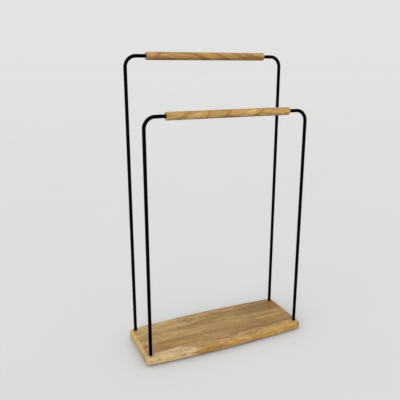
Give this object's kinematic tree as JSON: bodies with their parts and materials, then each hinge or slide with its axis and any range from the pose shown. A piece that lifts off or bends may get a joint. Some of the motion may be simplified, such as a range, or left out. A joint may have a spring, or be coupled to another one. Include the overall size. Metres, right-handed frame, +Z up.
{
  "type": "valet stand",
  "caption": "Low wooden base board with a tall and a short upright frame of bent round bar, each holding a round wooden rail for clothes.",
  "frame": {"origin": "on the floor, under the middle of the base board's box", "axes": "+Z up, +X to the right along the rails, -Y to the front, where the shorter frame stands"},
  "size_m": [0.529, 0.205, 0.8742],
  "materials": {
    "board_wood": "clear satin oil",
    "rail_wood": "clear satin oil",
    "black_coating": "fine satin powder coating",
    "zinc_plate": "bright zinc plating",
    "rubber": "matte"
  },
  "bodies": {
    "root": {"base_stave_1": "board_wood", "base_stave_2": "board_wood", "base_stave_3": "board_wood", "base_stave_4": "board_wood", "base_stave_5": "board_wood", "bar_front_left": "black_coating", "bar_front_right": "black_coating", "bar_rear_left": "black_coating", "bar_rear_right": "black_coating", "rail_front": "rail_wood", "rail_rear": "rail_wood", "screw_front_left": "zinc_plate", "screw_front_right": "zinc_plate", "screw_rear_left": "zinc_plate", "screw_rear_right": "zinc_plate", "washer_front_left": "zinc_plate", "washer_front_right": "zinc_plate", "washer_rear_left": "zinc_plate", "washer_rear_right": "zinc_plate", "pad_front_left": "rubber", "pad_front_right": "rubber", "pad_rear_left": "rubber", "pad_rear_right": "rubber"}
  },
  "joints": []
}
